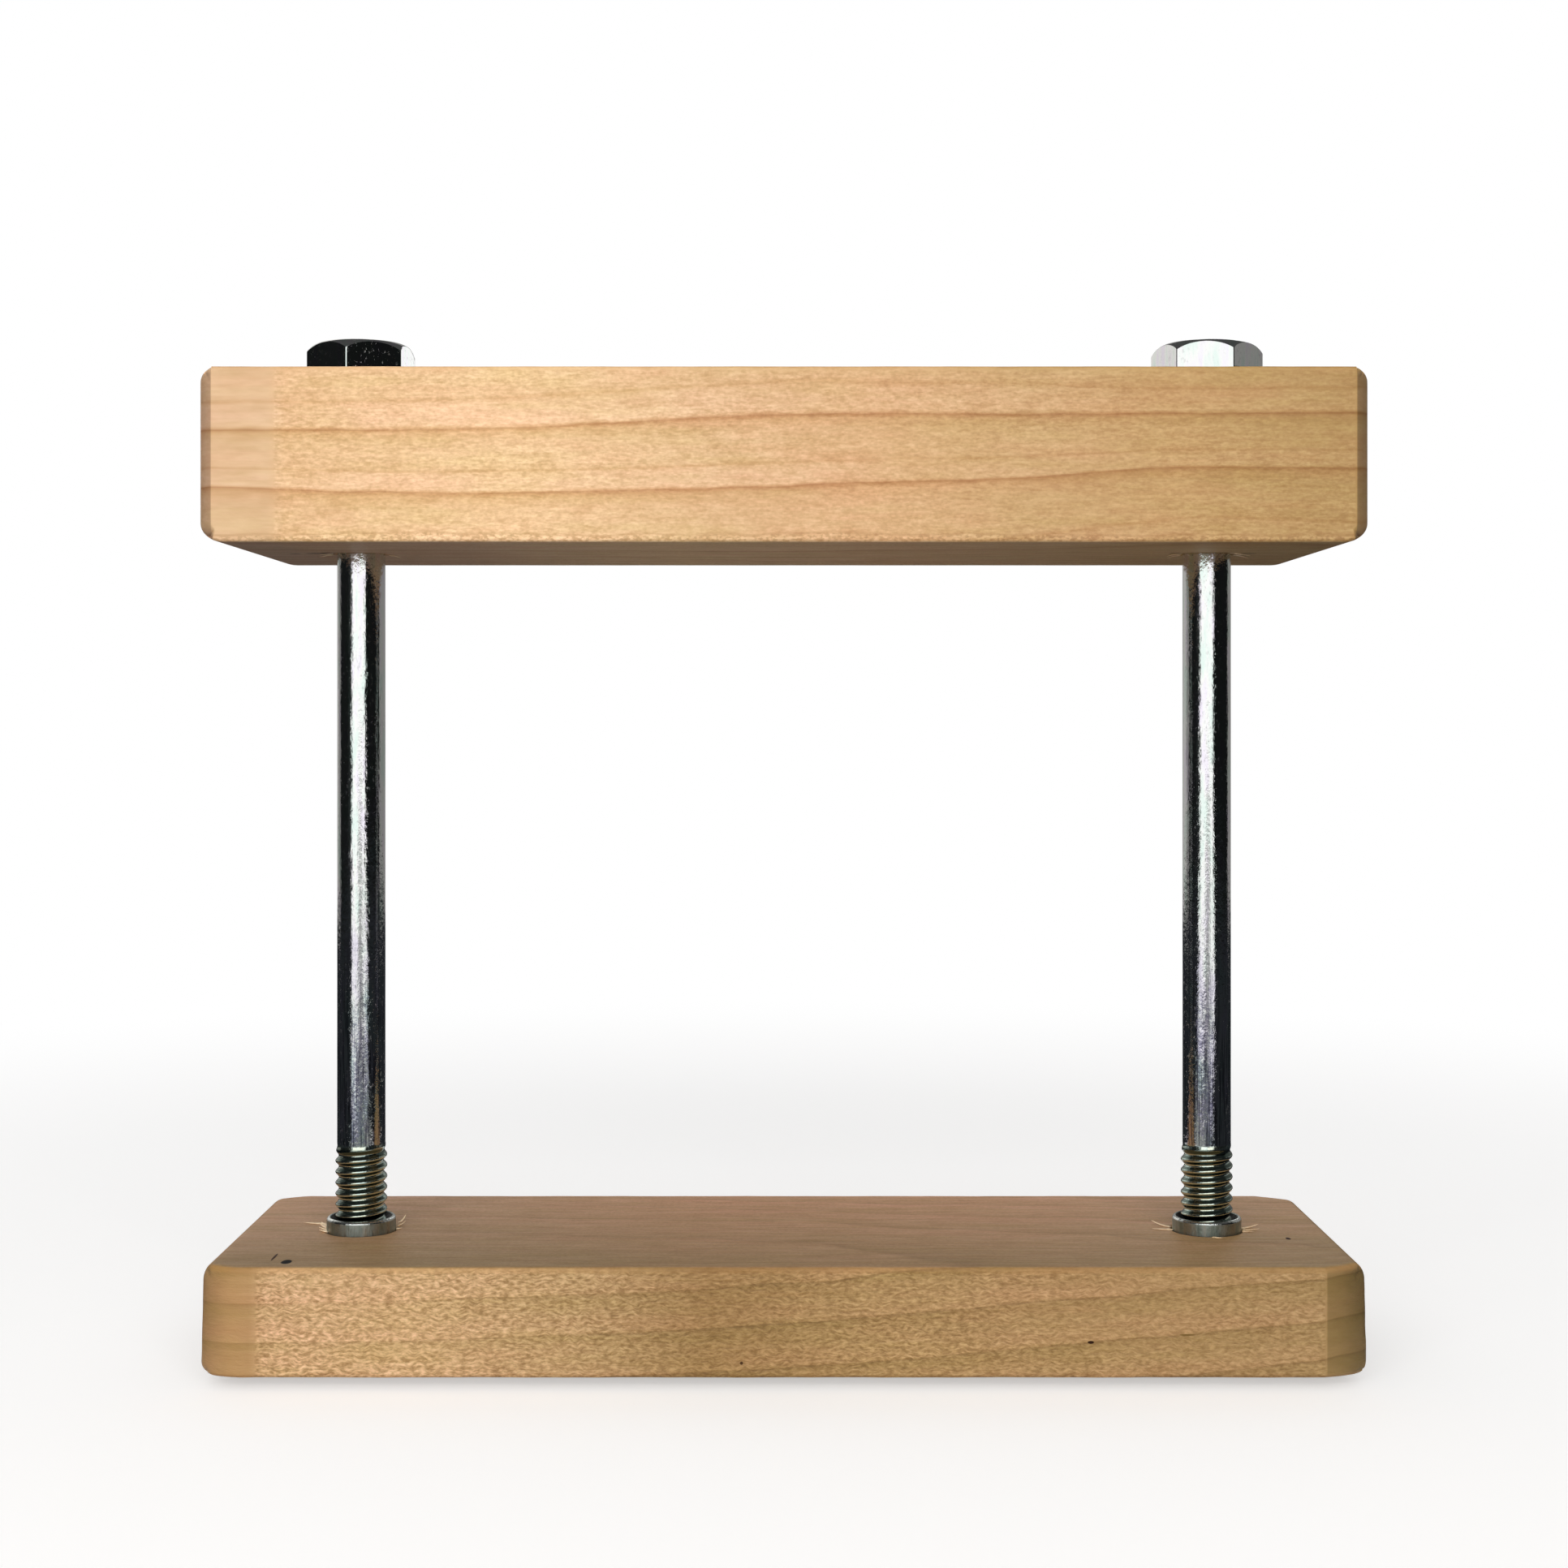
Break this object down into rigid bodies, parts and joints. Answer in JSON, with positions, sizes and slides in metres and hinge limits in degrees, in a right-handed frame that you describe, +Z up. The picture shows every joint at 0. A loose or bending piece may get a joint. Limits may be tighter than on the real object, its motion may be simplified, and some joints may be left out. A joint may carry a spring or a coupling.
{
  "type": "square parallel clamp",
  "caption": "Square-cornered wooden clamp: two maple jaws drawn together by hex bolts that screw into tee nuts in the lower jaw.",
  "frame": {"origin": "middle of the foot, level with the flanges of the tee nuts that the clamp stands on", "axes": "+X along the jaws, +Y across them away from the viewer, +Z up along the bolts, from the lower jaw to the heads"},
  "size_m": [0.127, 0.0382, 0.1162],
  "materials": {
    "upper_maple": "sanded maple, oiled, satin",
    "lower_maple": "sanded maple with a curly fleck, oiled, satin",
    "bolt_zinc": "bright zinc plate",
    "washer_zinc": "zinc plate",
    "tee_nut_zinc": "dull zinc plate"
  },
  "bodies": {
    "lower_jaw": {"lower_block": "lower_maple", "tee_nut_left": "tee_nut_zinc", "tee_nut_right": "tee_nut_zinc"},
    "left_washer": {"washer_left": "washer_zinc"},
    "left_bolt": {"bolt_left": "bolt_zinc"},
    "right_washer": {"washer_right": "washer_zinc"},
    "right_bolt": {"bolt_right": "bolt_zinc"},
    "upper_jaw": {"upper_block": "upper_maple"}
  },
  "joints": [
    {"name": "left_bolt_turn", "type": "hinge", "parent": "left_washer", "child": "left_bolt", "pos_m": [-0.0492, 0, 0.05], "axis": [0, 0, 1], "range_deg": [-1800, 2160]},
    {"name": "left_bolt_travel", "type": "slide", "parent": "lower_jaw", "child": "left_washer", "axis": [0, 0, 1], "range_m": [-0.00635, 0.00762]},
    {"name": "right_bolt_travel", "type": "slide", "parent": "lower_jaw", "child": "right_washer", "axis": [0, 0, 1], "range_m": [-0.00635, 0.00762]},
    {"name": "right_bolt_turn", "type": "hinge", "parent": "right_washer", "child": "right_bolt", "pos_m": [0.0492, 0, 0.05], "axis": [0, 0, 1], "range_deg": [-1800, 2160]},
    {"name": "upper_jaw_slide", "type": "slide", "parent": "left_washer", "child": "upper_jaw", "axis": [0, 0, 1], "range_m": [-0.0695, 0.00005]}
  ],
  "couplings": [
    {"joint": "left_bolt_travel", "follows": "left_bolt_turn", "m_per_rad": 0.00020213},
    {"joint": "right_bolt_travel", "follows": "left_bolt_turn", "m_per_rad": 0.00020213},
    {"joint": "right_bolt_turn", "follows": "left_bolt_turn", "ratio": 1}
  ]
}
